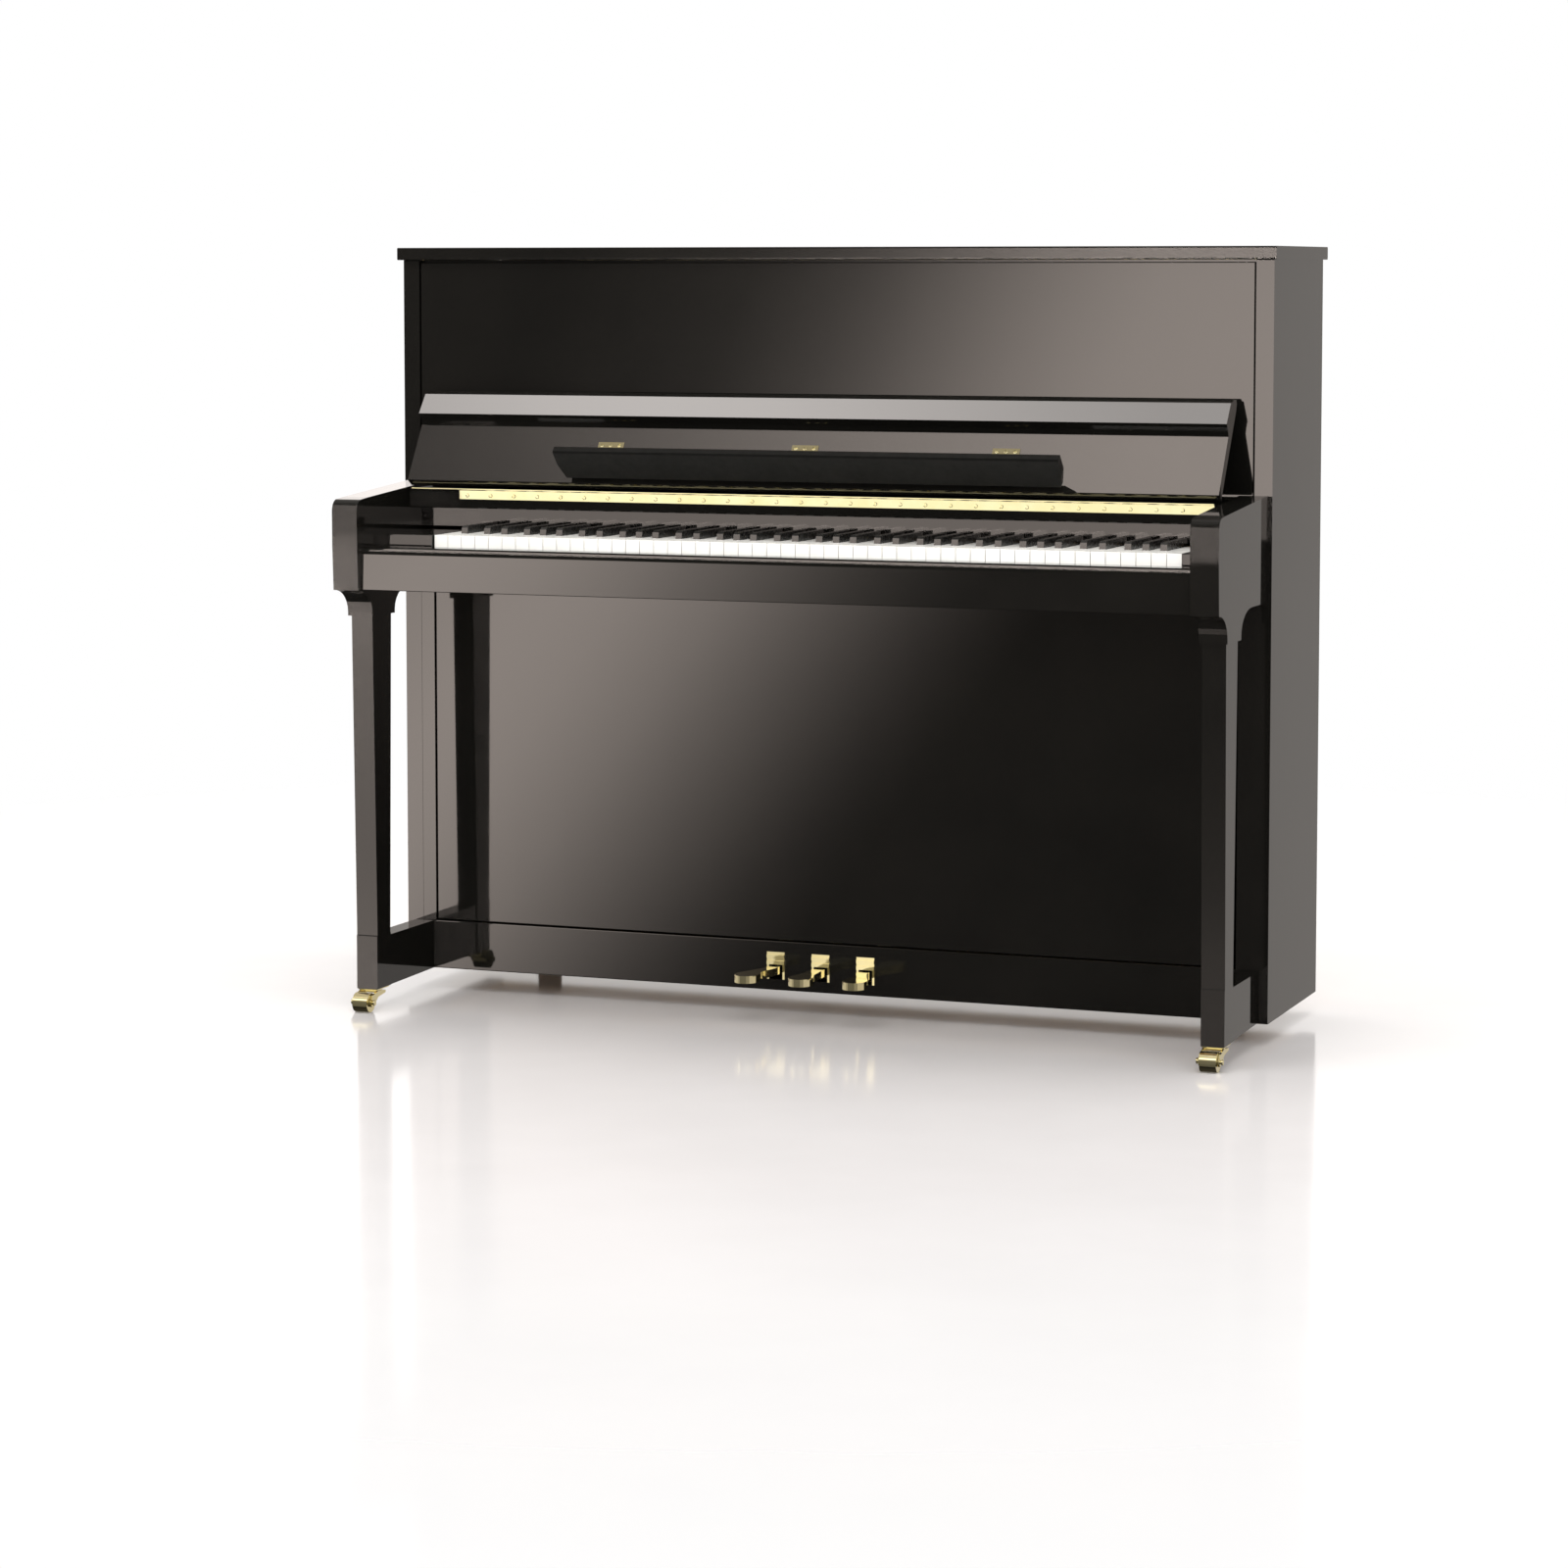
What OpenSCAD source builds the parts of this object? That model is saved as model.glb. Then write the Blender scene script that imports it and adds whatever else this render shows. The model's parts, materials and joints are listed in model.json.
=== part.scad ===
/* [Case] */
// width over the cabinet sides, mm
case_width = 1460; // [1440:1:1480]
// depth of the cabinet sides, mm
case_depth = 313; // [300:1:330]
// height of the lid's top above the floor, mm
total_height = 1224; // [1200:1:1240]
// thickness of the cabinet sides, mm
side_thick = 28; // [24:1:32]
// thickness of the lid, mm
lid_thick = 20; // [16:1:24]
// how far the lid stands out in front, mm
lid_front = 12; // [6:1:16]
// how far the lid stands out at each side, mm
lid_side = 6; // [2:1:10]
// gap between the floor and the case, mm
floor_gap = 36; // [30:1:44]

/* [Keyboard] */
// pitch of the white keys, mm
key_pitch = 23.5; // [23.5:0.1:23.6]
// how far the keyboard's middle is right of the case's middle, mm
key_shift = 37; // [0:1:40]
// height of the white keys' tops, mm
key_top = 769.5; // [760:0.5:775]
// distance from the case's front to the keys' fronts, mm
key_reach = 215; // [205:1:220]
// height of the black keys above the white ones, mm
sharp_rise = 12; // [11:0.5:13]

/* [Arms and legs] */
// distance from the case's front to the arms' fronts, mm
arm_reach = 280; // [270:1:290]
// thickness of the arms, mm
arm_thick = 43.5; // [40:0.5:46]
// width of the legs, mm
leg_width = 36.5; // [32:0.5:40]
// height of the arms' undersides, mm
arm_bottom = 682.5; // [675:0.5:690]

/* [Fallboard] */
// how far the open fallboard leans back from upright, degrees
fall_lean = 32; // [28:1:34]
// thickness of the fallboard, mm
fall_thick = 18; // [16:1:20]
// length of the music ledge, mm
ledge_length = 834; // [780:2:860]

/* [Hidden] */
hw = case_width / 2;
iw = hw - side_thick;
arm_in = 678;
arm_out = arm_in + arm_thick;
arm_mid = arm_in + arm_thick / 2;
lid_bottom = total_height - lid_thick;
lid_back = case_depth + 6;
// the case's front plane is at y = 0 in every module; origin_shift brings the
// footprint's middle to the origin
origin_shift = (arm_reach - lid_back) / 2;
panel_top = lid_bottom - 4;
rail_front = -90.5;
pivot_y = -92;
pivot_z = 837;
keybed_z = 683;
key_bottom = 748;
key_back = 165;
key_pivot = [15, 744];
kb_left = key_shift - 26 * key_pitch;
kb_right = key_shift + 26 * key_pitch;
sharp_width = 10.5;
wire = 2.4;
fs = sin(fall_lean);
fc = cos(fall_lean);
// where the middle of each black key is within an octave that starts at C
sharp_at = [20.3, 50.2, 89.6, 117.5, 145.4];
octave = 7 * key_pitch;
black = [0.09, 0.09, 0.09];
ivory = [0.96, 0.95, 0.91];
brass = [0.85, 0.68, 0.32];
wood = [0.72, 0.54, 0.34];
iron = [0.62, 0.50, 0.26];
steel = [0.6, 0.6, 0.62];
felt = [0.75, 0.72, 0.66];

module box(x0, x1, y0, y1, z0, z1) {
  translate([x0, y0 + origin_shift, z0]) cube([x1 - x0, y1 - y0, z1 - z0]);
}

// a y-z outline drawn out along x
module bar(x0, x1, pts) {
  translate([x0, origin_shift, 0]) rotate([90, 0, 90]) linear_extrude(x1 - x0) polygon(pts);
}

// an x-z drawing from y0 back to y1
module slab(y0, y1) {
  translate([0, y1 + origin_shift, 0]) rotate([90, 0, 0]) linear_extrude(y1 - y0) children();
}

// a round bar along x
module rod_x(x0, x1, y, z, r) {
  translate([x0, y + origin_shift, z]) rotate([0, 90, 0]) cylinder(h = x1 - x0, r = r, $fn = 32);
}

// a round bar along y
module rod_y(x, y0, y1, z, r) {
  translate([x, y0 + origin_shift, z]) rotate([-90, 0, 0]) cylinder(h = y1 - y0, r = r, $fn = 32);
}

// quarter ellipse points about (cy, cz), from angle a0 to a1
function arc(cy, cz, ry, rz, a0, a1, n = 6) =
  [for (i = [0 : n]) let (a = a0 + (a1 - a0) * i / n) [cy + ry * cos(a), cz + rz * sin(a)]];

// a box outline with four small round edges, counter-clockwise
function soft(y0, y1, z0, z1, r) = concat(
  arc(y1 - r, z1 - r, r, r, 0, 90, 3), arc(y0 + r, z1 - r, r, r, 90, 180, 3),
  arc(y0 + r, z0 + r, r, r, 180, 270, 3), arc(y1 - r, z0 + r, r, r, 270, 360, 3));

// fallboard outline point: a along the board from the hinge, h out of its outer face
function fb(a, h) = [pivot_y + a * fs + h * fc, pivot_z + a * fc - h * fs];

module side_panel(x0, x1) { bar(x0, x1, soft(0, case_depth, floor_gap - 2, lid_bottom, 1.5)); }
module side_left() { color(black) side_panel(-hw, -iw); }
module side_right() { color(black) side_panel(iw, hw); }

module lid() {
  color(black) difference() {
    bar(-hw - lid_side, hw + lid_side, soft(-lid_front, lid_back, lid_bottom, total_height, 2.5));
    // room for the hinge's knuckle
    box(-hw + 30, hw - 30, case_depth - 1.2, case_depth + 8, lid_bottom - 1, lid_bottom + 4.6);
  }
}

// the lid's long hinge: a leaf on the back of the case and its knuckle
module lid_hinge() {
  color(brass) {
    box(-hw + 31, hw - 31, case_depth, case_depth + 1.4, lid_bottom - 24, lid_bottom);
    rod_x(-hw + 31, hw - 31, case_depth + 2.4, lid_bottom + 1.4, 2.1);
  }
}

module upper_panel() {
  color(black) {
    bar(-iw + 3, iw - 3, soft(1, 22, 836.5, panel_top, 1.5));
    // a tongue along its top that closes the gap to the lid
    box(-iw + 3, iw - 3, 12, 20, panel_top - 6, lid_bottom - 0.5);
  }
}

module lower_panel() {
  color(black) bar(-674.8, 674.8, soft(0.5, 20, 118.5, 680, 1.5));
}

pedal_x = [-77, -0.5, 75.5];
pedal_splay = 14.5;
module bottom_rail() {
  color(black) difference() {
    bar(-678.5, 678.5, soft(0, 28, floor_gap + 1, 116.5, 1.5));
    for (x = pedal_x) box(x - 11.5, x + 11.5, -1, 29, 55, 79);
  }
}

module stiles() {
  color(black) for (s = [-1, 1])
    box(s < 0 ? -iw : 679, s < 0 ? -679 : iw, 0.5, 28, floor_gap + 1, keybed_z);
}

module bottom_board() {
  color(wood) box(-iw, iw, 28, 250, floor_gap + 1, floor_gap + 19);
}

module keybed() {
  color(wood) {
    box(-arm_in, arm_in, -222, 0, keybed_z, keybed_z + 22);
    box(-iw, iw, 0, 172, keybed_z, keybed_z + 22);
  }
}

module key_slip() {
  color(black) bar(-arm_in, arm_in, concat(
    [[-222, 681], [-222, 750], [-223, 751], [-257, 751]], arc(-258, 741, 10, 9.5, 80, 170, 6),
    [[-268, 740], [-268, 684], [-267, 683], [-240, 683], [-240, 681]]));
}

module key_block(x0, x1) {
  bar(x0, x1, concat([[-28, 705], [-28, 770], [-219, 770]],
    arc(-219, 768, 2.4, 2, 90, 180, 3), [[-221.4, 705]]));
}
module key_block_left() { color(black) key_block(-arm_in, kb_left - 1.5); }
module key_block_right() { color(black) key_block(kb_right + 1.5, arm_in); }

bracket_bottom = 638;
module arm(x0) {
  bar(x0, x0 + arm_thick, concat(
    [[0, arm_bottom], [0, 845]],
    [[-240, 828.5]], arc(-262, 808, 18, 18.5, 90, 180, 6),
    [[-280, 755], [-276.5, arm_bottom]],
    [for (i = [1 : 7]) let (t = 90 * i / 7) [-276 + 49 * sin(t), 644 + 38.5 * cos(t)]],
    [[-227, bracket_bottom], [-147, bracket_bottom]],
    [for (i = [7 : -1 : 0]) let (t = 90 * i / 7) [-86 - 61 * sin(t), 644 + 38.5 * cos(t)]]));
}
module arm_left() { color(black) arm(-arm_out); }
module arm_right() { color(black) arm(arm_in); }

module leg(xm) {
  bar(xm - leg_width / 2, xm + leg_width / 2,
    [[-154, bracket_bottom], [-165, 122], [-163.5, 120.5], [-163.5, floor_gap - 1],
     [-212.5, floor_gap - 1], [-212.5, 120.5], [-211, 122], [-221, bracket_bottom]]);
}
module leg_left() { color(black) leg(-arm_mid); }
module leg_right() { color(black) leg(arm_mid); }

module toe_block(xm) {
  bar(xm - 16.5, xm + 16.5, [[-163.5, 35], [0, 37], [0, 114], [-2, 116], [-163.5, 117]]);
}
module toe_block_left() { color(black) toe_block(-arm_mid); }
module toe_block_right() { color(black) toe_block(arm_mid); }

// caster: a plate and swivel under the leg, and two cheeks that hold the roller's axle in front
roller_y = -226;
roller_r = 15.5;
module caster_fork(xm) {
  color(brass) {
    box(xm - 17, xm + 17, -211, -169, 33, 35);
    translate([xm, -192 + origin_shift, 29]) cylinder(h = 4.5, r = 14, $fn = 48);
    difference() {
      union() {
        bar(xm - 16.5, xm + 16.5, [[-180, 25.5], [-180, 29.5], [-206, 32], [-206, 28]]);
        for (s = [-1, 1]) bar(xm + s * 15 - 1.5, xm + s * 15 + 1.5, concat([[-180, 29.5], [-206, 32],
          [-226, 27]], arc(roller_y, roller_r, 7, 7, 120, 290, 10), [[-206, 22], [-180, 25.5]]));
      }
      rod_x(xm - 25, xm + 25, roller_y, roller_r, 3.3);
    }
  }
}
module caster_fork_left() { caster_fork(-arm_mid); }
module caster_fork_right() { caster_fork(arm_mid); }

module caster_roller(xm) {
  color(brass) {
    rod_x(xm - 13, xm + 13, roller_y, roller_r, roller_r);
    rod_x(xm - 18.5, xm - 13, roller_y, roller_r, 3);
    rod_x(xm + 13, xm + 18.5, roller_y, roller_r, 3);
    for (s = [-1, 1]) rod_x(xm + s * 18.5 - (s < 0 ? 2 : 0), xm + s * 18.5 + (s < 0 ? 0 : 2),
      roller_y, roller_r, 4.5);
  }
}
module caster_roller_left() { caster_roller(-arm_mid); }
module caster_roller_right() { caster_roller(arm_mid); }

module rear_foot(x) {
  color([0.12, 0.12, 0.12]) translate([x, 282 + origin_shift, 0]) {
    cylinder(h = 12, r1 = 22, r2 = 24, $fn = 48);
    translate([0, 0, 12]) cylinder(h = floor_gap + 1 - 12, r = 20, $fn = 48);
  }
}
module rear_foot_left() { rear_foot(-600); }
module rear_foot_right() { rear_foot(600); }

// the rail that carries the fallboard's hinge and closes the top of the key opening
module hinge_rail() {
  color(black) {
    bar(-arm_in, arm_in, [[1, 805], [1, 836], [-2, 836], [-89, 836], [-90.5, 834.5], [-90.5, 806.5],
      [-89, 805]]);
    box(-iw, iw, 0, 22, 805, 836.5);
  }
}

// the fixed brass leaf on the rail's front face, its knuckle and its screw heads
module fall_leaf() {
  color(brass) {
    box(-588, 664, -91.9, rail_front, 820, 834);
    rod_x(-672, 664, pivot_y - 0.6, pivot_z - 1, 2);
    for (i = [0 : 30]) rod_y(-574 + i * 41, -92.6, -91.9, 826, 2.6);
  }
}

module nameboard() {
  color(black) bar(-arm_in, arm_in, [[-46, 773.5], [-46, 805], [-30, 805], [-30, 772.5], [-45, 772.5]]);
}

module fallboard() {
  color(black) difference() {
    bar(-674, 674, concat([fb(4, -1), fb(165, 0), fb(165, -fall_thick), fb(5, -fall_thick),
      fb(4, -fall_thick + 1)]));
    rod_x(-676, 668, pivot_y - 0.6, pivot_z - 1, 5);
  }
}

module fall_lip() {
  color(black) bar(-674, 674, concat([fb(107, -fall_thick), fb(112, -24), fb(115, -31), fb(117, -37.5),
    fb(156, -33), fb(163, -24.5), fb(169, -21.5), fb(177, -8), fb(172, -1.5), fb(165, -1),
    fb(165, -fall_thick)]));
}

ledge_a = 19;
ledge_mid = 20;
ledge_h = -fall_thick - 3;
// ledge outline point: along it from its hinge, and down out of its under side
function lg(s, d) = let (k = fb(ledge_a, ledge_h))
  [k[0] + s * cos(134) - d * cos(44), k[1] + s * sin(134) - d * sin(44)];
module music_ledge() {
  x0 = ledge_mid - ledge_length / 2;
  x1 = ledge_mid + ledge_length / 2;
  color(black) difference() {
    bar(x0, x1, [lg(3, 0), lg(3, 11), lg(5, 13), lg(61, 13), lg(64, 11), lg(64, 2), lg(62.5, 0)]);
    // the ends are cut back towards the hinge
    for (s = [-1, 1]) translate([ledge_mid + s * ledge_length / 2, lg(0, 0)[0] + origin_shift,
      lg(0, 0)[1]])
      rotate([134, 0, 0])
      linear_extrude(90, center = true) polygon([[0, 34], [0, -40], [-s * 18, -40]]);
  }
}

module ledge_hinges() {
  color(brass) for (x = [-332, -2, 328]) {
    bar(x - 22, x + 22, [fb(19.5, -fall_thick), fb(79, -fall_thick), fb(79, -fall_thick - 1.2),
      fb(19.5, -fall_thick - 1.2)]);
    translate([x - 22, fb(ledge_a, 0)[0] + ledge_h * fc + origin_shift,
      fb(ledge_a, ledge_h)[1]]) rotate([0, 90, 0]) cylinder(h = 44, r = 2.6, $fn = 32);
  }
}

// a pedal: the polished foot in front, splayed outwards, and its lever to a pivot inside the case
module pedal(x, splay) {
  color(brass) difference() {
    union() {
      bar(x - 9, x + 9, [[-12, 65], [120, 71], [120, 84], [60, 80], [30, 77.5], [-12, 77]]);
      translate([x, origin_shift, 65]) linear_extrude(12) pedal_foot(splay);
      rod_x(x - 9, x + 9, 120, 78, 9);
    }
    rod_x(x - 12, x + 12, 120, 78, 4.2);
  }
}
function foot_half(y) = y > -62 ? 9 + 3 * (-12 - y) / 50 : y > -86 ? 12 + 7 * (-62 - y) / 24 :
  19 * sqrt(1 - pow(max(-92 - y, 0) / 22.6, 2));
function foot_mid(y, splay) = splay * (1 - cos(min((-12 - y) / 70, 1) * 180)) / 2;
foot_ys = [-12, -24, -36, -48, -62, -70, -78, -86, -92, -99, -105, -110, -113, -114.2];
module pedal_foot(splay) {
  polygon(concat([for (y = foot_ys) [foot_mid(y, splay) - foot_half(y), y]],
    [for (i = [len(foot_ys) - 1 : -1 : 0]) let (y = foot_ys[i]) [foot_mid(y, splay) + foot_half(y), y]]));
}
module pedal_left() { pedal(pedal_x[0], -pedal_splay); }
module pedal_middle() { pedal(pedal_x[1], 0); }
module pedal_right() { pedal(pedal_x[2], pedal_splay); }

// brass plates over the pedal slots, and the pivot brackets on the bottom board
module pedal_plates() {
  color(brass) for (x = pedal_x) {
    slab(-1.6, 0) polygon([[x - 15, 55], [x - 15, 99], [x + 15, 99], [x + 15, 55], [x + 11.5, 55],
      [x + 11.5, 79], [x - 11.5, 79], [x - 11.5, 55]]);
    for (z = [83, 93]) box(x - 15, x + 15, -3.4, -1.6, z - 4, z + 2);
    for (s = [-1, 1]) slab(112, 128) translate([x + s * 12.5 - 2, 55]) square([4, 34]);
    rod_x(x - 14.5, x + 14.5, 120, 78, 4);
  }
}

function sharp_left(c) = c - sharp_width / 2 - 1.3;
function sharp_right(c) = c + sharp_width / 2 + 1.3;
// left and right edges of each white key's tail within an octave that starts at C
tail_l = [0.5, sharp_right(20.3), sharp_right(50.2), 3 * key_pitch + 0.5, sharp_right(89.6),
  sharp_right(117.5), sharp_right(145.4)];
tail_r = [sharp_left(20.3), sharp_left(50.2), 3 * key_pitch - 0.5, sharp_left(89.6),
  sharp_left(117.5), sharp_left(145.4), octave - 0.5];

// octave 0 starts at the C below the lowest A, so the first octave's keys are A and B
function oct_x(o) = kb_left + (o - 1) * octave + 2 * key_pitch;
module white_key(o, k, first = false, last = false) {
  x = oct_x(o);
  l = x + (first ? k * key_pitch + 0.5 : tail_l[k]);
  r = x + (last ? (k + 1) * key_pitch - 0.5 : tail_r[k]);
  a = x + k * key_pitch + 0.5;
  b = a + key_pitch - 1;
  translate([0, origin_shift, key_bottom]) linear_extrude(key_top - key_bottom)
    polygon([[a, -key_reach], [b, -key_reach], [b, -key_reach + 50], [r, -key_reach + 50],
      [r, key_back], [l, key_back], [l, -key_reach + 50], [a, -key_reach + 50]]);
}
module black_key(o, n) {
  c = oct_x(o) + sharp_at[n];
  f = -key_reach + 52;
  bar(c - sharp_width / 2, c + sharp_width / 2, [[f, key_bottom], [key_back, key_bottom],
    [key_back, 768], [-49, 768], [-49, key_top + sharp_rise], [f + 6, key_top + sharp_rise],
    [f + 2, key_top + sharp_rise - 3], [f, 768]]);
}

mid = 4;
module white_key_c() { color(ivory) white_key(mid, 0); }
module white_key_d() { color(ivory) white_key(mid, 1); }
module white_key_e() { color(ivory) white_key(mid, 2); }
module white_key_f() { color(ivory) white_key(mid, 3); }
module white_key_g() { color(ivory) white_key(mid, 4); }
module white_key_a() { color(ivory) white_key(mid, 5); }
module white_key_b() { color(ivory) white_key(mid, 6); }
module black_key_cs() { color(black) black_key(mid, 0); }
module black_key_ds() { color(black) black_key(mid, 1); }
module black_key_fs() { color(black) black_key(mid, 2); }
module black_key_gs() { color(black) black_key(mid, 3); }
module black_key_as() { color(black) black_key(mid, 4); }
module white_keys_bass() {
  color(ivory) {
    white_key(0, 5, first = true);
    white_key(0, 6);
    for (o = [1 : mid - 1], k = [0 : 6]) white_key(o, k);
  }
}
module black_keys_bass() {
  color(black) {
    black_key(0, 4);
    for (o = [1 : mid - 1], n = [0 : 4]) black_key(o, n);
  }
}
module white_keys_treble() {
  color(ivory) {
    for (o = [mid + 1 : 7], k = [0 : 6]) white_key(o, k);
    white_key(8, 0, last = true);
  }
}
module black_keys_treble() {
  color(black) for (o = [mid + 1 : 7], n = [0 : 4]) black_key(o, n);
}

// front rail, round-topped balance rail, back rail and the cross pieces under the keys
module key_frame() {
  color(wood) {
    box(kb_left, kb_right, -205, -160, 705, 732);
    box(kb_left, kb_right, 3, 27, 705, 744);
    rod_x(kb_left, kb_right, key_pivot[0], key_pivot[1], 4);
    box(kb_left, kb_right, 118, 160, 705, key_bottom);
    for (i = [0 : 4]) box(kb_left + 20 + i * 290, kb_left + 45 + i * 290, -161, 119, 705, 720);
  }
}

note_n = 44;
note_pitch = 2 * 26 * key_pitch / note_n;
function note_x(i) = kb_left + (i + 0.5) * note_pitch;

// action brackets with the main, hammer rest and let-off rails
module action_rail() {
  color(iron) {
    for (x = [-590, -200, 230, 660]) slab(70, 150) translate([x - 5, 777]) square([10, 243]);
    for (z = [800, 880]) for (s = [[-585, -205], [-195, 225], [235, 655]])
      box(s[0], s[1], 92, 112, z, z + 26);
    for (s = [[-585, -205], [-195, 225], [235, 655]]) box(s[0], s[1], 74, 90, 985, 1005);
  }
  // brackets stand on the key bed through feet beside the keys
  color(iron) for (x = [-590, 660]) {
    box(x - 5, x + 5, 165.5, 178, 705, 800);
    box(x - 5, x + 5, 150, 165.5, 777, 800);
  }
}

// shanks and heads, one for every two notes
module hammers() {
  color(felt) {
    slab(112, 121) {
      for (i = [0 : note_n - 1]) if (abs(note_x(i) + 200) > 9 && abs(note_x(i) - 230) > 9)
        translate([note_x(i) - 3, 925]) square([6, 121]);
      for (s = [[-585, -207], [-193, 223], [237, 655]]) translate([s[0], 896])
        square([s[1] - s[0], 32]);
    }
    for (i = [0 : note_n - 1]) if (abs(note_x(i) + 200) > 9 && abs(note_x(i) - 230) > 9)
      bar(note_x(i) - 4.5, note_x(i) + 4.5, [[112, 1040], [112, 1062], [150, 1058], [163, 1051],
        [150, 1044]]);
  }
}

module dampers() {
  color([0.3, 0.08, 0.08]) slab(150, 164) {
    for (i = [0 : 29]) translate([note_x(i) - 4, 880]) square([8, 46]);
    translate([note_x(0) - 4, 866]) square([note_x(29) - note_x(0) + 8, 14]);
  }
}

plate_w = 690;
// the iron plate: a flat casting with five windows, and five struts on its face
module iron_plate() {
  color(iron) difference() {
    slab(196, 206) difference() {
      polygon([[-plate_w, 150], [plate_w, 150], [plate_w, 1150], [plate_w - 60, 1196],
        [-plate_w + 60, 1196], [-plate_w, 1150]]);
      for (i = [0 : 4]) translate([-650 + i * 262, 260]) polygon([[0, 0], [236, 0],
        [236, 700 - i * 10], [0, 710 - i * 10]]);
    }
  }
  color(iron) for (i = [0 : 3]) box(-407 + i * 262, -395 + i * 262, 176, 197, 200, 1020);
}

module strings() {
  color(steel) for (i = [0 : note_n - 1]) let (x = note_x(i) * 0.93 - 20)
    if (min([for (k = [0 : 3]) abs(x + 401 - k * 262)]) > 9) {
      translate([x, 190 + origin_shift, 205]) cylinder(h = 867 + (i % 3) * 28, r = wire / 2, $fn = 16);
      rod_y(x, 184, 196, 1072 + (i % 3) * 28, 3.4);
      rod_y(x, 186, 196, 205, 2);
    }
}

module soundboard() {
  color([0.82, 0.66, 0.42]) {
    box(-plate_w, plate_w, 240, 249, 140, 1060);
    // the bridges reach through the plate's windows
    for (i = [0 : 4]) box(-640 + i * 262, -426 + i * 262, 190 + wire / 2, 241, 330 + i * 70, 362 + i * 70);
  }
}

// five posts between two beams, with the pin plank in front of the upper beam
module back_frame() {
  color(wood) {
    slab(251, case_depth) difference() {
      translate([-iw, floor_gap + 1]) square([2 * iw, panel_top - floor_gap - 1]);
      for (i = [0 : 3]) translate([-iw + 70 + i * 332, 137]) square([266, 943]);
    }
    box(-plate_w, plate_w, 206, 251, 1062, 1196);
    box(-plate_w, plate_w, 206, 251, 60, 138);
  }
}

side_left();
side_right();
lid();
lid_hinge();
upper_panel();
lower_panel();
bottom_rail();
stiles();
bottom_board();
keybed();
key_slip();
key_block_left();
key_block_right();
arm_left();
arm_right();
leg_left();
leg_right();
toe_block_left();
toe_block_right();
caster_fork_left();
caster_fork_right();
caster_roller_left();
caster_roller_right();
rear_foot_left();
rear_foot_right();
hinge_rail();
fall_leaf();
nameboard();
fallboard();
fall_lip();
music_ledge();
ledge_hinges();
pedal_left();
pedal_middle();
pedal_right();
pedal_plates();
white_keys_bass();
black_keys_bass();
white_keys_treble();
black_keys_treble();
white_key_c();
white_key_d();
white_key_e();
white_key_f();
white_key_g();
white_key_a();
white_key_b();
black_key_cs();
black_key_ds();
black_key_fs();
black_key_gs();
black_key_as();
key_frame();
action_rail();
hammers();
dampers();
iron_plate();
strings();
soundboard();
back_frame();
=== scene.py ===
import json
import math

import bmesh
import bpy
from mathutils import Matrix, Vector


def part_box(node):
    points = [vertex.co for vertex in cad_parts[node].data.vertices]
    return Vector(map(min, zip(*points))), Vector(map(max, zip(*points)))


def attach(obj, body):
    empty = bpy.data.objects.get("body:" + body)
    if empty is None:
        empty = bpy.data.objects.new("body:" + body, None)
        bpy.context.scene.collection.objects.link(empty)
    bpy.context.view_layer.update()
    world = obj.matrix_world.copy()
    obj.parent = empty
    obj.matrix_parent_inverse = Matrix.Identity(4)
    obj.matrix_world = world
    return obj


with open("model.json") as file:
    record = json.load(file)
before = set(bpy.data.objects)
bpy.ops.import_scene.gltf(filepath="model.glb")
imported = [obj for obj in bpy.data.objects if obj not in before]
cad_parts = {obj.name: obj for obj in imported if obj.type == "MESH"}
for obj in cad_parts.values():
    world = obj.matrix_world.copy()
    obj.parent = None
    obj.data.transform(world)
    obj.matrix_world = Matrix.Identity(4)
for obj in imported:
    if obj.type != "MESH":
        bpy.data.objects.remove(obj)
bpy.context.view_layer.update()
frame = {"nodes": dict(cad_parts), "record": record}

NODES = frame["nodes"]
BLACK_CASE = [
    "side_left", "side_right", "lid", "upper_panel", "lower_panel", "bottom_rail", "stiles",
    "key_slip", "key_block_left", "key_block_right", "arm_left", "arm_right", "leg_left",
    "leg_right", "toe_block_left", "toe_block_right", "hinge_rail", "nameboard", "fallboard",
    "fall_lip", "music_ledge",
]


# ---------- materials ----------

def new_material(name):
    """A node material and its Principled shader."""
    mat = bpy.data.materials.new(name)
    mat.use_nodes = True
    return mat, mat.node_tree.nodes["Principled BSDF"]


def coordinates(mat, scale=(1, 1, 1), turn=(0, 0, 0)):
    """Object coordinates in metres, stretched by scale."""
    tree = mat.node_tree
    source = tree.nodes.new("ShaderNodeTexCoord")
    mapping = tree.nodes.new("ShaderNodeMapping")
    mapping.inputs["Scale"].default_value = scale
    mapping.inputs["Rotation"].default_value = turn
    tree.links.new(source.outputs["Object"], mapping.inputs["Vector"])
    return mapping.outputs["Vector"]


def noise(mat, vector, scale, detail=4.0, rough=0.55):
    node = mat.node_tree.nodes.new("ShaderNodeTexNoise")
    node.inputs["Scale"].default_value = scale
    node.inputs["Detail"].default_value = detail
    node.inputs["Roughness"].default_value = rough
    mat.node_tree.links.new(vector, node.inputs["Vector"])
    return node.outputs["Fac"]


def spread(mat, value, low, high, start=0.3, end=0.7):
    """value from start to end, mapped to low to high."""
    node = mat.node_tree.nodes.new("ShaderNodeMapRange")
    for key, number in (("From Min", start), ("From Max", end), ("To Min", low), ("To Max", high)):
        node.inputs[key].default_value = number
    mat.node_tree.links.new(value, node.inputs["Value"])
    return node.outputs["Result"]


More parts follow.
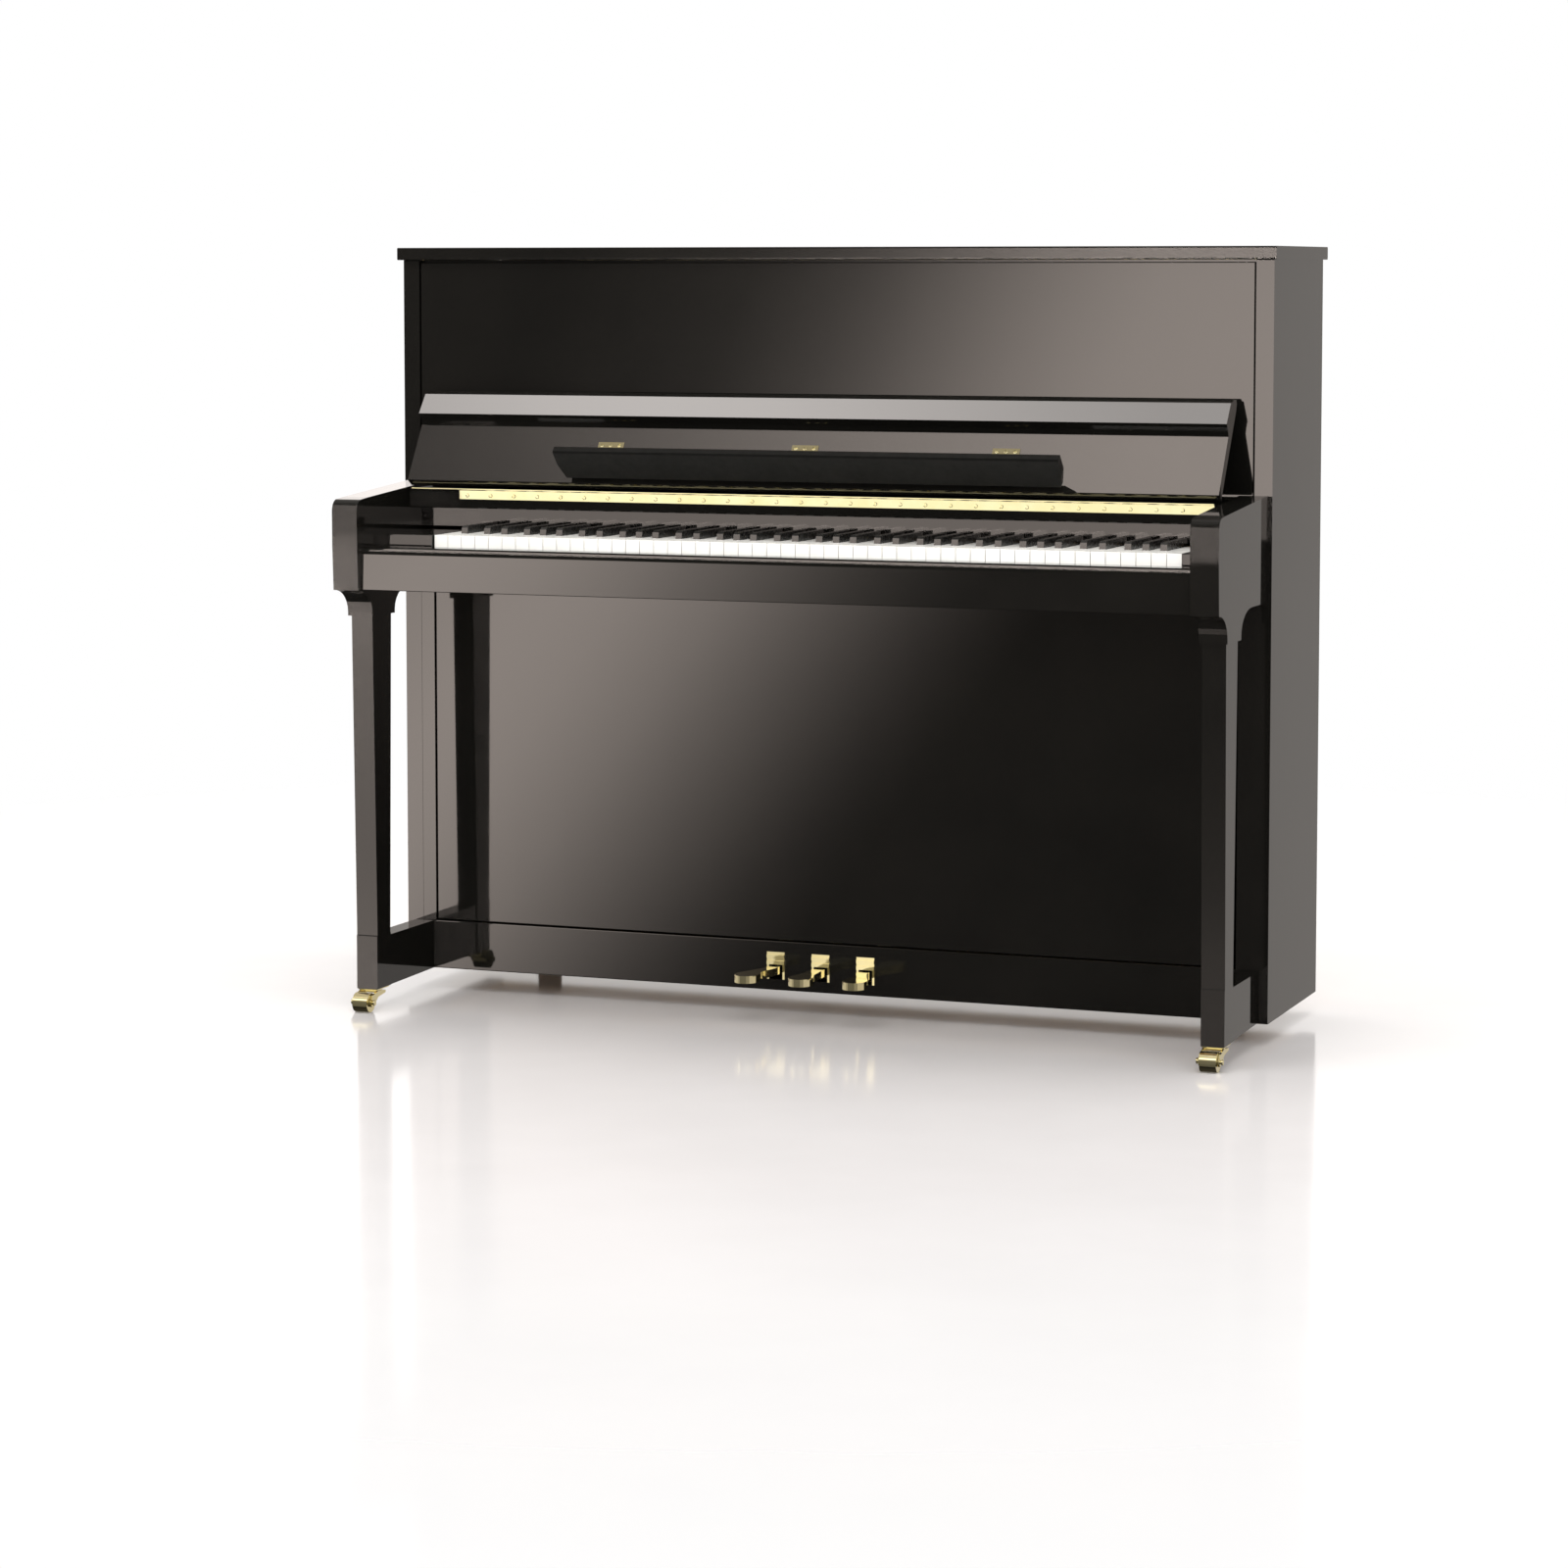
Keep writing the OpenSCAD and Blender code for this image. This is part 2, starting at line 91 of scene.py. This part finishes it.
def ramp(mat, value, stops):
    """A colour ramp through stops of (place, (r, g, b))."""
    node = mat.node_tree.nodes.new("ShaderNodeValToRGB")
    marks = node.color_ramp.elements
    while len(marks) < len(stops):
        marks.new(0.5)
    for mark, (place, colour) in zip(marks, stops):
        mark.position = place
        mark.color = (*colour, 1)
    mat.node_tree.links.new(value, node.inputs["Fac"])
    return node.outputs["Color"]


def bump(mat, shader, height, strength, distance):
    node = mat.node_tree.nodes.new("ShaderNodeBump")
    node.inputs["Strength"].default_value = strength
    node.inputs["Distance"].default_value = distance
    mat.node_tree.links.new(height, node.inputs["Height"])
    mat.node_tree.links.new(node.outputs["Normal"], shader.inputs["Normal"])


def join(mat, output, shader, socket):
    mat.node_tree.links.new(output, shader.inputs[socket])


def polish_material():
    """Black polyester lacquer: a mirror gloss with faint haze and orange peel."""
    mat, shader = new_material("black_polish")
    here = coordinates(mat)
    join(mat, ramp(mat, noise(mat, here, 5), [(0.3, (0.0055, 0.0052, 0.0045)),
                                             (0.7, (0.0085, 0.0078, 0.0066))]), shader, "Base Color")
    join(mat, spread(mat, noise(mat, here, 9), 0.03, 0.055), shader, "Roughness")
    bump(mat, shader, noise(mat, here, 60, 2), 0.003, 0.0004)
    shader.inputs["IOR"].default_value = 1.45
    return mat


def key_white_material():
    """White key covering above the timber of the key's stick."""
    mat, shader = new_material("key_white")
    tree = mat.node_tree
    here = coordinates(mat)
    grain = noise(mat, coordinates(mat, (60, 3, 60)), 3)
    split = tree.nodes.new("ShaderNodeSeparateXYZ")
    tree.links.new(here, split.inputs["Vector"])
    timber = ramp(mat, grain, [(0.3, (0.50, 0.34, 0.18)), (0.7, (0.66, 0.47, 0.28))])
    cover = ramp(mat, noise(mat, here, 14), [(0.3, (0.87, 0.855, 0.81)), (0.7, (0.93, 0.915, 0.88))])
    low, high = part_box("white_key_c")
    behind = spread(mat, split.outputs["Y"], 0, 1, low[1] + 0.150, low[1] + 0.1505)
    mix = tree.nodes.new("ShaderNodeMix")
    mix.data_type = "RGBA"
    tree.links.new(behind, mix.inputs["Factor"])
    tree.links.new(cover, mix.inputs["A"])
    tree.links.new(timber, mix.inputs["B"])
    join(mat, mix.outputs["Result"], shader, "Base Color")
    join(mat, spread(mat, noise(mat, here, 40), 0.16, 0.26), shader, "Roughness")
    bump(mat, shader, noise(mat, here, 500, 2), 0.02, 0.0002)
    return mat


def speckle_material(name, low, high, rough, scale=40, metallic=0.0, height=0.05, ior=1.5):
    """Two close colours, roughness that varies and a fine bump: paint, plastic, rubber, metal."""
    mat, shader = new_material(name)
    here = coordinates(mat)
    join(mat, ramp(mat, noise(mat, here, scale), [(0.3, low), (0.7, high)]), shader, "Base Color")
    join(mat, spread(mat, noise(mat, here, scale * 1.7), *rough), shader, "Roughness")
    bump(mat, shader, noise(mat, here, scale * 12, 3), height, 0.0004)
    shader.inputs["Metallic"].default_value = metallic
    shader.inputs["IOR"].default_value = ior
    return mat


def timber_material(name, low, high, rough, stretch):
    """Wood: long fibres under growth bands."""
    mat, shader = new_material(name)
    fibre = noise(mat, coordinates(mat, stretch), 6, 8, 0.65)
    tree = mat.node_tree
    wave = tree.nodes.new("ShaderNodeTexWave")
    wave.inputs["Scale"].default_value = 5
    wave.inputs["Distortion"].default_value = 5
    wave.inputs["Detail"].default_value = 3
    tree.links.new(coordinates(mat, tuple(s * 0.25 for s in stretch)), wave.inputs["Vector"])
    blend = tree.nodes.new("ShaderNodeMath")
    blend.operation = "MULTIPLY_ADD"
    blend.inputs[1].default_value = 0.35
    tree.links.new(wave.outputs["Fac"], blend.inputs[0])
    tree.links.new(spread(mat, fibre, 0.0, 0.65, 0.2, 0.8), blend.inputs[2])
    join(mat, ramp(mat, blend.outputs[0], [(0.15, low), (0.85, high)]), shader, "Base Color")
    join(mat, spread(mat, fibre, *rough), shader, "Roughness")
    bump(mat, shader, fibre, 0.12, 0.0006)
    return mat


def brass_material():
    """Polished brass, lacquered, with fine rubbing marks."""
    mat, shader = new_material("brass")
    here = coordinates(mat)
    rub = noise(mat, coordinates(mat, (4, 60, 260)), 12)
    join(mat, ramp(mat, noise(mat, here, 25), [(0.3, (0.93, 0.82, 0.46)), (0.7, (0.97, 0.88, 0.55))]),
         shader, "Base Color")
    join(mat, spread(mat, rub, 0.06, 0.12), shader, "Roughness")
    bump(mat, shader, rub, 0.03, 0.0002)
    shader.inputs["Metallic"].default_value = 1.0
    return mat


def felt_material(name, low, high):
    """Pressed wool: soft mottling, a fuzzy bump and sheen."""
    mat, shader = new_material(name)
    here = coordinates(mat)
    join(mat, ramp(mat, noise(mat, here, 160, 8, 0.7), [(0.3, low), (0.7, high)]), shader, "Base Color")
    join(mat, spread(mat, noise(mat, here, 90), 0.85, 1.0), shader, "Roughness")
    bump(mat, shader, noise(mat, here, 1400, 4, 0.8), 0.4, 0.0006)
    shader.inputs["Sheen Weight"].default_value = 0.6
    return mat


MATERIALS = {
    "black_polish": polish_material(),
    "black_satin": speckle_material("black_satin", (0.006, 0.0058, 0.005), (0.009, 0.0086, 0.0076),
                                    (0.42, 0.55), 60, ior=1.3),
    "key_white": key_white_material(),
    "key_black": speckle_material("key_black", (0.012, 0.012, 0.011), (0.02, 0.019, 0.018), (0.2, 0.32),
                                  60),
    "brass": brass_material(),
    "timber": timber_material("timber", (0.42, 0.27, 0.13), (0.60, 0.42, 0.23), (0.4, 0.6), (2, 40, 40)),
    "spruce": timber_material("spruce", (0.60, 0.41, 0.20), (0.74, 0.55, 0.31), (0.3, 0.45), (60, 60, 2)),
    "action_metal": speckle_material("action_metal", (0.30, 0.31, 0.33), (0.42, 0.43, 0.45), (0.3, 0.5),
                                     30, 0.9),
    "iron": speckle_material("iron", (0.42, 0.29, 0.10), (0.55, 0.40, 0.16), (0.32, 0.5), 70, 0.6, 0.25),
    "wire": speckle_material("wire", (0.5, 0.5, 0.52), (0.65, 0.65, 0.67), (0.22, 0.35), 90, 1.0),
    "hammer_felt": felt_material("hammer_felt", (0.72, 0.69, 0.60), (0.85, 0.82, 0.74)),
    "damper_felt": felt_material("damper_felt", (0.30, 0.02, 0.02), (0.46, 0.05, 0.04)),
    "foot_rubber": speckle_material("foot_rubber", (0.02, 0.02, 0.02), (0.035, 0.035, 0.034),
                                    (0.6, 0.8), 80),
}
SLOT_OF = {part["node"]: part["material_slot"] for part in frame["record"]["subparts"]}

for node_name, cad in NODES.items():
    material = MATERIALS[SLOT_OF[node_name]]
    if not cad.material_slots:
        cad.data.materials.append(material)
    for place in cad.material_slots:
        place.material = material


def round_edges(cad, width, segments=2, angle=35):
    """Small rounded edges that catch the light."""
    bevel = cad.modifiers.new("edge", "BEVEL")
    bevel.width = width
    bevel.segments = segments
    bevel.limit_method = "ANGLE"
    bevel.angle_limit = math.radians(angle)
    bevel.use_clamp_overlap = True


EDGE_WIDTH = {"lid": 0.0012, "fallboard": 0.001, "fall_lip": 0.0012, "music_ledge": 0.0012,
              "nameboard": 0.0008}
for node_name in BLACK_CASE:
    round_edges(NODES[node_name], EDGE_WIDTH.get(node_name, 0.0014))
for node_name, cad in NODES.items():
    if node_name.startswith(("white_key", "black_key")):
        round_edges(cad, 0.0009 if node_name.startswith("white") else 0.0012, 3)
    if node_name.startswith("pedal_") and node_name != "pedal_plates":
        round_edges(cad, 0.0028, 4, 50)


# ---------- fittings ----------

def mesh_piece(name, bm, material, body, smooth=True):
    """A finished mesh that takes a record slot and rides on a body."""
    data = bpy.data.meshes.new(name)
    bmesh.ops.recalc_face_normals(bm, faces=bm.faces)
    bm.to_mesh(data)
    bm.free()
    for face in data.polygons:
        face.use_smooth = smooth
    data.materials.append(MATERIALS[material])
    obj = bpy.data.objects.new(name, data)
    bpy.context.scene.collection.objects.link(obj)
    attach(obj, body)
    return obj


def add_screw(bm, where, normal, radius, turn):
    """A slotted raised countersunk head: two half domes with the slot between them."""
    axis = Vector(normal).normalized()
    facing = axis.to_track_quat("Z", "Y").to_matrix().to_4x4()
    place = Matrix.Translation(where) @ facing @ Matrix.Rotation(turn, 4, "Z")
    slot, rise, rings, steps = radius * 0.16, radius * 0.32, 3, 12
    for side in (1, -1):
        rows = []
        for ring in range(rings + 1):
            share = ring / rings
            reach = radius * math.cos(share * math.pi / 2 * 0.86)
            level = rise * math.sin(share * math.pi / 2)
            half = math.acos(min(slot / reach, 1))
            rows.append([bm.verts.new(place @ Vector((
                reach * math.sin(a), side * max(reach * math.cos(a), slot), level)))
                for a in [half * (2 * i / steps - 1) for i in range(steps + 1)]])
        foot = [bm.verts.new(place @ Vector((v[0], v[1], -0.0002))) for v in
                [(radius * math.sin(a), side * max(radius * math.cos(a), slot)) for a in
                 [math.acos(slot / radius) * (2 * i / steps - 1) for i in range(steps + 1)]]]
        rows.insert(0, foot)
        for low, high in zip(rows, rows[1:]):
            for i in range(steps):
                bm.faces.new((low[i], low[i + 1], high[i + 1], high[i]))
            bm.faces.new((low[-1], low[0], high[0], high[-1]))
        bm.faces.new(rows[-1])
        bm.faces.new(rows[0])


def screws(name, places, normal, radius, body):
    bm = bmesh.new()
    for i, where in enumerate(places):
        add_screw(bm, Vector(where), normal, radius, 0.6 + 1.9 * i)
    return mesh_piece(name, bm, "brass", body, smooth=False)


leaf_low, leaf_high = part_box("fall_leaf")
LEAF_SCREWS, LEAF_PITCH = 31, 0.041
screws("leaf_screws",
       [(-0.574 + LEAF_PITCH * i, leaf_low[1] + 0.0019, 0.826) for i in range(LEAF_SCREWS)],
       (0, -1, 0), 0.0031, "case")

# the fallboard's inner face: its direction up the board and its outward normal
LEAN = math.radians(32)
UP_BOARD = Vector((0, math.sin(LEAN), math.cos(LEAN)))
OFF_BOARD = Vector((0, -math.cos(LEAN), math.sin(LEAN)))
plate_rows = [x + shift for x in (-0.332, -0.002, 0.328) for shift in (-0.015, 0, 0.015)]
hinge_pivot = Vector((0, -0.092 - 0.0195, 0.837))
screws("ledge_hinge_screws",
       [tuple(hinge_pivot + UP_BOARD * 0.073 + OFF_BOARD * 0.0192 + Vector((x, 0, 0)))
        for x in plate_rows], OFF_BOARD, 0.0032, "fallboard_body")


def strip(name, low, high, material, body, crown=0.0):
    """A long felt strip with a crowned top, its ends a little rounded."""
    bm = bmesh.new()
    steps, across = 60, 6
    rows = []
    for i in range(steps + 1):
        x = low[0] + (high[0] - low[0]) * i / steps
        ends = min(1.0, 8 * min(i, steps - i) / steps + 0.4)
        loop = []
        for j in range(across + 1):
            y = low[1] + (high[1] - low[1]) * j / across
            top = low[2] + (high[2] - low[2]) * (1 - crown * (2 * j / across - 1) ** 2) * ends
            loop.append(bm.verts.new((x, y, top)))
        loop += [bm.verts.new((x, high[1], low[2])), bm.verts.new((x, low[1], low[2]))]
        rows.append(loop)
    for a, b in zip(rows, rows[1:]):
        for i in range(len(a)):
            j = (i + 1) % len(a)
            bm.faces.new((a[i], a[j], b[j], b[i]))
    bm.faces.new(rows[0])
    bm.faces.new(rows[-1])
    return mesh_piece(name, bm, material, body)


bed_low, bed_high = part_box("key_frame")
strip("front_rail_felt", (bed_low[0] + 0.004, bed_low[1] + 0.006, bed_low[2] + 0.0271),
      (bed_high[0] - 0.004, bed_low[1] + 0.036, bed_low[2] + 0.0302), "damper_felt", "case", 0.4)


# ---------- floor, reflectors and light ----------

def reflector(name, receivers, corners, along, stops, tint=(1.0, 0.87, 0.79)):
    """A glowing sheet that only the named pieces mirror: its light follows the stops of
    (place, radiance), where place is the distance along a direction. It lets other rays through."""
    data = bpy.data.meshes.new(name)
    data.from_pydata(corners, [], [(0, 1, 2, 3)])
    obj = bpy.data.objects.new(name, data)
    bpy.context.scene.collection.objects.link(obj)
    obj.visible_camera = obj.visible_diffuse = obj.visible_shadow = False
    mat = bpy.data.materials.new(name)
    mat.use_nodes = True
    tree = mat.node_tree
    tree.nodes.clear()
    place = tree.nodes.new("ShaderNodeVectorMath")
    place.operation = "DOT_PRODUCT"
    place.inputs[1].default_value = along
    tree.links.new(coordinates(mat), place.inputs[0])
    start, end = stops[0][0], stops[-1][0]
    tallest = max(level for _, level in stops)
    light = ramp(mat, spread(mat, place.outputs["Value"], 0, 1, start, end),
                 [((at - start) / (end - start), [level / tallest * t for t in tint])
                  for at, level in stops])
    light.node.color_ramp.interpolation = "B_SPLINE"
    glow = tree.nodes.new("ShaderNodeEmission")
    glow.inputs["Strength"].default_value = tallest
    tree.links.new(light, glow.inputs["Color"])
    clear = tree.nodes.new("ShaderNodeBsdfTransparent")
    both = tree.nodes.new("ShaderNodeAddShader")
    out = tree.nodes.new("ShaderNodeOutputMaterial")
    tree.links.new(glow.outputs[0], both.inputs[0])
    tree.links.new(clear.outputs[0], both.inputs[1])
    tree.links.new(both.outputs[0], out.inputs["Surface"])
    data.materials.append(mat)
    seen_by = bpy.data.collections.new(name + "_receivers")
    for receiver in receivers:
        seen_by.objects.link(receiver)
    obj.light_linking.receiver_collection = seen_by
    return obj


def wall(y, left, right, low, high):
    return [(left, y, low), (right, y, low), (right, y, high), (left, y, high)]


def ceiling(z, left, right, front, back):
    return [(left, front, z), (right, front, z), (right, back, z), (left, back, z)]


def nodes(*names):
    return [NODES[n] for n in names]


WALL_Y = -0.66
SPLIT_Z = 0.736
NEUTRAL = (1.0, 0.94, 0.905)
LOW_BRASS = nodes("pedal_left", "pedal_middle", "pedal_right", "pedal_plates", "caster_fork_left",
                  "caster_fork_right", "caster_roller_left", "caster_roller_right")
HIGH_BRASS = [obj for obj in bpy.context.scene.objects if obj.type == "MESH" and obj not in LOW_BRASS
              and obj.data.materials and obj.data.materials[0] == MATERIALS["brass"]]
# before the upper case: dark at the left, light at the right
reflector("wall_upper", nodes("upper_panel", "side_left", "side_right"),
          wall(WALL_Y, -2.4, 1.4, SPLIT_Z, 2.4), (1, 0, -0.45),
          [(-1.25, 0.04), (-0.9, 0.35), (-0.72, 1.05), (-0.55, 2.4), (-0.35, 5.0), (-0.15, 7.0), (0.2, 7.2)])
# the same for the lid, further out, so that its top seen from behind mirrors the dark above it
reflector("wall_lid", nodes("lid"), wall(-2.4, -3.7, 1.16, -0.4, 1.9), (1, 0, -0.45),
          [(-2.09, 0.04), (-1.64, 0.35), (-1.41, 1.05), (-1.19, 2.4), (-0.94, 5.0), (-0.68, 7.0),
           (-0.23, 7.2)])
# before the lower case: light at the left, dark at the right
reflector("wall_lower", nodes("lower_panel", "bottom_rail", "stiles", "key_slip", "side_left",
                              "side_right"),
          wall(WALL_Y, -2.4, 1.4, -0.4, SPLIT_Z), (1, 0, -0.76),
          [(-1.73, 4.6), (-1.33, 7.5), (-1.08, 6.5), (-0.88, 4.4), (-0.73, 2.65), (-0.58, 1.25),
           (-0.43, 0.36), (-0.28, 0.05), (0.8, 0.03)])
reflector("wall_arm_left", nodes("arm_left", "leg_left", "toe_block_left"),
          wall(WALL_Y - 0.08, -2.4, 0.2, -0.4, 1.2), (0, 0, 1),
          [(-0.4, 3.3), (0.0, 3.3), (0.2, 2.6), (0.5, 3.6), (0.60, 4.4), (0.66, 3.8), (0.735, 3.7), (0.74, 1.9),
           (1.2, 2.1)])
reflector("wall_arm_right", nodes("arm_right", "leg_right", "toe_block_right"),
          wall(WALL_Y - 0.10, 0.0, 1.4, -0.4, 1.2), (0, 0, 1),
          [(-0.4, 1.0), (0.0, 0.9), (0.2, 0.25), (0.4, 0.1), (0.72, 0.1), (0.728, 0.1), (0.732, 2.5), (1.2, 2.5)])
# the left arm's top mirrors the sky low behind it
reflector("glow_arm_left", nodes("arm_left"), wall(-0.025, -0.95, -0.6, 0.835, 1.1), (0, 0, 1),
          [(0.835, 1.3), (1.1, 1.3)], NEUTRAL)
reflector("wall_name", nodes("nameboard"), wall(-0.11, -0.69, 0.69, 0.74, 0.84), (1, 0, 0),
          [(-0.69, 3.5), (0.69, 4.2)])
reflector("wall_middle", nodes("key_block_left", "key_block_right", "black_keys_bass", "black_keys_treble", "black_key_cs",
                               "black_key_ds", "black_key_fs", "black_key_gs", "black_key_as"),
          wall(WALL_Y - 0.02, -2.4, 1.4, 0.6, 1.1), (1, 0, 0), [(-1.2, 3.4), (0.0, 4.2), (0.6, 4.6)])
reflector("sky_fallboard", nodes("fallboard"), ceiling(1.9, -2.4, 1.4, -1.6, -0.35), (1, 0, 0),
          [(-1.3, 0.5), (-0.9, 1.3), (-0.5, 3.4), (-0.1, 5.4), (0.3, 7.0)])
reflector("sky_lip", nodes("fall_lip"), ceiling(1.93, -2.4, 1.4, -1.2, 0.1), (1, 0, 0),
          [(-1.3, 8.0), (-0.9, 11.5), (-0.5, 12.0), (-0.1, 9.4), (0.3, 7.0)], NEUTRAL)
reflector("sky_slip", nodes("key_slip"), ceiling(1.96, -2.4, 1.4, -1.6, 0.1), (1, 0, 0),
          [(-1.3, 4.5), (0.3, 4.8)])
reflector("wall_leaf", HIGH_BRASS, wall(WALL_Y - 0.04, -2.4, 1.4, 0.3, 1.6), (1, 0, 0),
          [(-1.2, 1.15), (-0.2, 1.1), (0.6, 1.0)], (1.0, 1.0, 0.95))
# bands of light and dark for the pedals and rollers
reflector("wall_pedals", LOW_BRASS, wall(WALL_Y - 0.06, -2.4, 1.6, -0.5, 1.5), (0, 0, 1),
          [(-0.5, 0.1), (-0.2, 0.08), (0.1, 0.08), (0.25, 0.2), (0.32, 2.0), (0.45, 2.0), (0.55, 0.2),
           (1.1, 0.15), (1.5, 1.6)], (1.0, 0.97, 0.9))
reflector("wall_plates", nodes("pedal_plates"), wall(WALL_Y - 0.12, -1.2, 1.0, -0.5, 0.6), (1, 0, 0),
          [(-0.6, 0.35), (-0.38, 0.5), (-0.2, 0.95), (0.0, 1.0)], (1.0, 0.93, 0.8))

FLOOR_RADIUS = 3.4


def floor():
    """A pale glossy floor that fades away round the object."""
    bm = bmesh.new()
    bmesh.ops.create_circle(bm, cap_ends=True, segments=128, radius=FLOOR_RADIUS)
    data = bpy.data.meshes.new("floor")
    bm.to_mesh(data)
    bm.free()
    obj = bpy.data.objects.new("floor", data)
    bpy.context.scene.collection.objects.link(obj)
    mat, shader = new_material("floor")
    tree = mat.node_tree
    here = coordinates(mat)
    join(mat, ramp(mat, noise(mat, here, 3), [(0.3, (0.83, 0.80, 0.795)), (0.7, (0.86, 0.83, 0.825))]),
         shader, "Base Color")
    join(mat, spread(mat, noise(mat, here, 6), 0.10, 0.14), shader, "Roughness")
    length = tree.nodes.new("ShaderNodeVectorMath")
    length.operation = "LENGTH"
    tree.links.new(here, length.inputs[0])
    fade = spread(mat, length.outputs["Value"], 0, 1, 1.2, 3.2)
    # the lacquer doesn't mirror the floor, as if it stood on a dark one
    ray_kind = tree.nodes.new("ShaderNodeLightPath")
    hidden = tree.nodes.new("ShaderNodeMath")
    hidden.operation = "MAXIMUM"
    tree.links.new(fade, hidden.inputs[0])
    tree.links.new(ray_kind.outputs["Is Glossy Ray"], hidden.inputs[1])
    clear = tree.nodes.new("ShaderNodeBsdfTransparent")
    mix = tree.nodes.new("ShaderNodeMixShader")
    tree.links.new(hidden.outputs[0], mix.inputs["Fac"])
    tree.links.new(shader.outputs[0], mix.inputs[1])
    tree.links.new(clear.outputs[0], mix.inputs[2])
    tree.links.new(mix.outputs[0], tree.nodes["Material Output"].inputs["Surface"])
    data.materials.append(mat)
    return obj


ground = floor()
# the floor alone mirrors a white back wall
reflector("wall_back", [ground], wall(4.2, -9, 9, 0.0, 6.0), (1, 0, 0), [(-9, 0.62), (9, 0.62)], (1, 1, 1))


def soft_light(name, where, target, size, power, receivers=()):
    """A large square area light that doesn't show in reflections; some pieces can have their own."""
    data = bpy.data.lights.new(name, "AREA")
    data.size, data.energy = size, power
    data.color = (1.0, 0.985, 0.965)
    obj = bpy.data.objects.new(name, data)
    obj.location = where
    obj.rotation_euler = (Vector(target) - Vector(where)).to_track_quat("-Z", "Y").to_euler()
    obj.visible_glossy = False
    bpy.context.scene.collection.objects.link(obj)
    if receivers:
        lit = bpy.data.collections.new(name + "_receivers")
        for receiver in receivers:
            lit.objects.link(receiver)
        obj.light_linking.receiver_collection = lit


soft_light("overhead", (0.2, -0.9, 3.6), (0, -0.3, 0), 3.5, 85)
soft_light("front_left", (-3.0, -4.2, 2.4), (0, 0, 0.6), 2.4, 30)
soft_light("right_side", (4.2, -1.2, 1.6), (0.7, 0, 0.6), 2.6, 15)
soft_light("keyboard_front", (0.6, -3.2, 1.5), (0, -0.2, 0.76), 1.6, 45,
           [cad for name, cad in NODES.items() if name.startswith("white_key")])

# white behind the object and as even light; in reflections, grey at the back and above, dark in front
world = bpy.data.worlds.new("studio")
bpy.context.scene.world = world
world.use_nodes = True
sky = world.node_tree
sky.nodes.clear()
backdrop = sky.nodes.new("ShaderNodeBackground")
surroundings = sky.nodes.new("ShaderNodeBackground")
direction = sky.nodes.new("ShaderNodeTexCoord")
parts = sky.nodes.new("ShaderNodeSeparateXYZ")
front_to_back = sky.nodes.new("ShaderNodeMapRange")
shade = sky.nodes.new("ShaderNodeValToRGB")
ray = sky.nodes.new("ShaderNodeLightPath")
choose = sky.nodes.new("ShaderNodeMixShader")
sky_out = sky.nodes.new("ShaderNodeOutputWorld")
front_to_back.inputs["From Min"].default_value = -0.85
front_to_back.inputs["From Max"].default_value = -0.1
shade.color_ramp.elements[0].color = (0.05, 0.047, 0.043, 1)
shade.color_ramp.elements[1].color = (0.52, 0.485, 0.455, 1)
sky.links.new(direction.outputs["Generated"], parts.inputs[0])
sky.links.new(parts.outputs["Y"], front_to_back.inputs["Value"])
sky.links.new(front_to_back.outputs["Result"], shade.inputs["Fac"])
sky.links.new(shade.outputs["Color"], surroundings.inputs["Color"])
above_ground = sky.nodes.new("ShaderNodeMapRange")
above_ground.inputs["From Min"].default_value = -0.55
above_ground.inputs["From Max"].default_value = -0.3
above_ground.inputs["To Min"].default_value = 0.06
sky.links.new(parts.outputs["Z"], above_ground.inputs["Value"])
sky.links.new(above_ground.outputs["Result"], surroundings.inputs["Strength"])
sky.links.new(ray.outputs["Is Glossy Ray"], choose.inputs["Fac"])
sky.links.new(backdrop.outputs[0], choose.inputs[1])
sky.links.new(surroundings.outputs[0], choose.inputs[2])
sky.links.new(choose.outputs[0], sky_out.inputs["Surface"])
backdrop.inputs["Color"].default_value = (1, 1, 1, 1)


# ---------- camera ----------

lens = bpy.data.cameras.new("camera")
lens.sensor_width = 36
lens.lens = 94.21
lens.shift_y = -0.12
lens.clip_end = 60
camera = bpy.data.objects.new("camera", lens)
camera.location = (2.256, -6.0954, 1.1823)
camera.rotation_euler = (math.radians(90 - 4.492), 0, math.radians(20.894))
bpy.context.scene.collection.objects.link(camera)
bpy.context.scene.camera = camera
bpy.context.scene.view_settings.view_transform = "Standard"
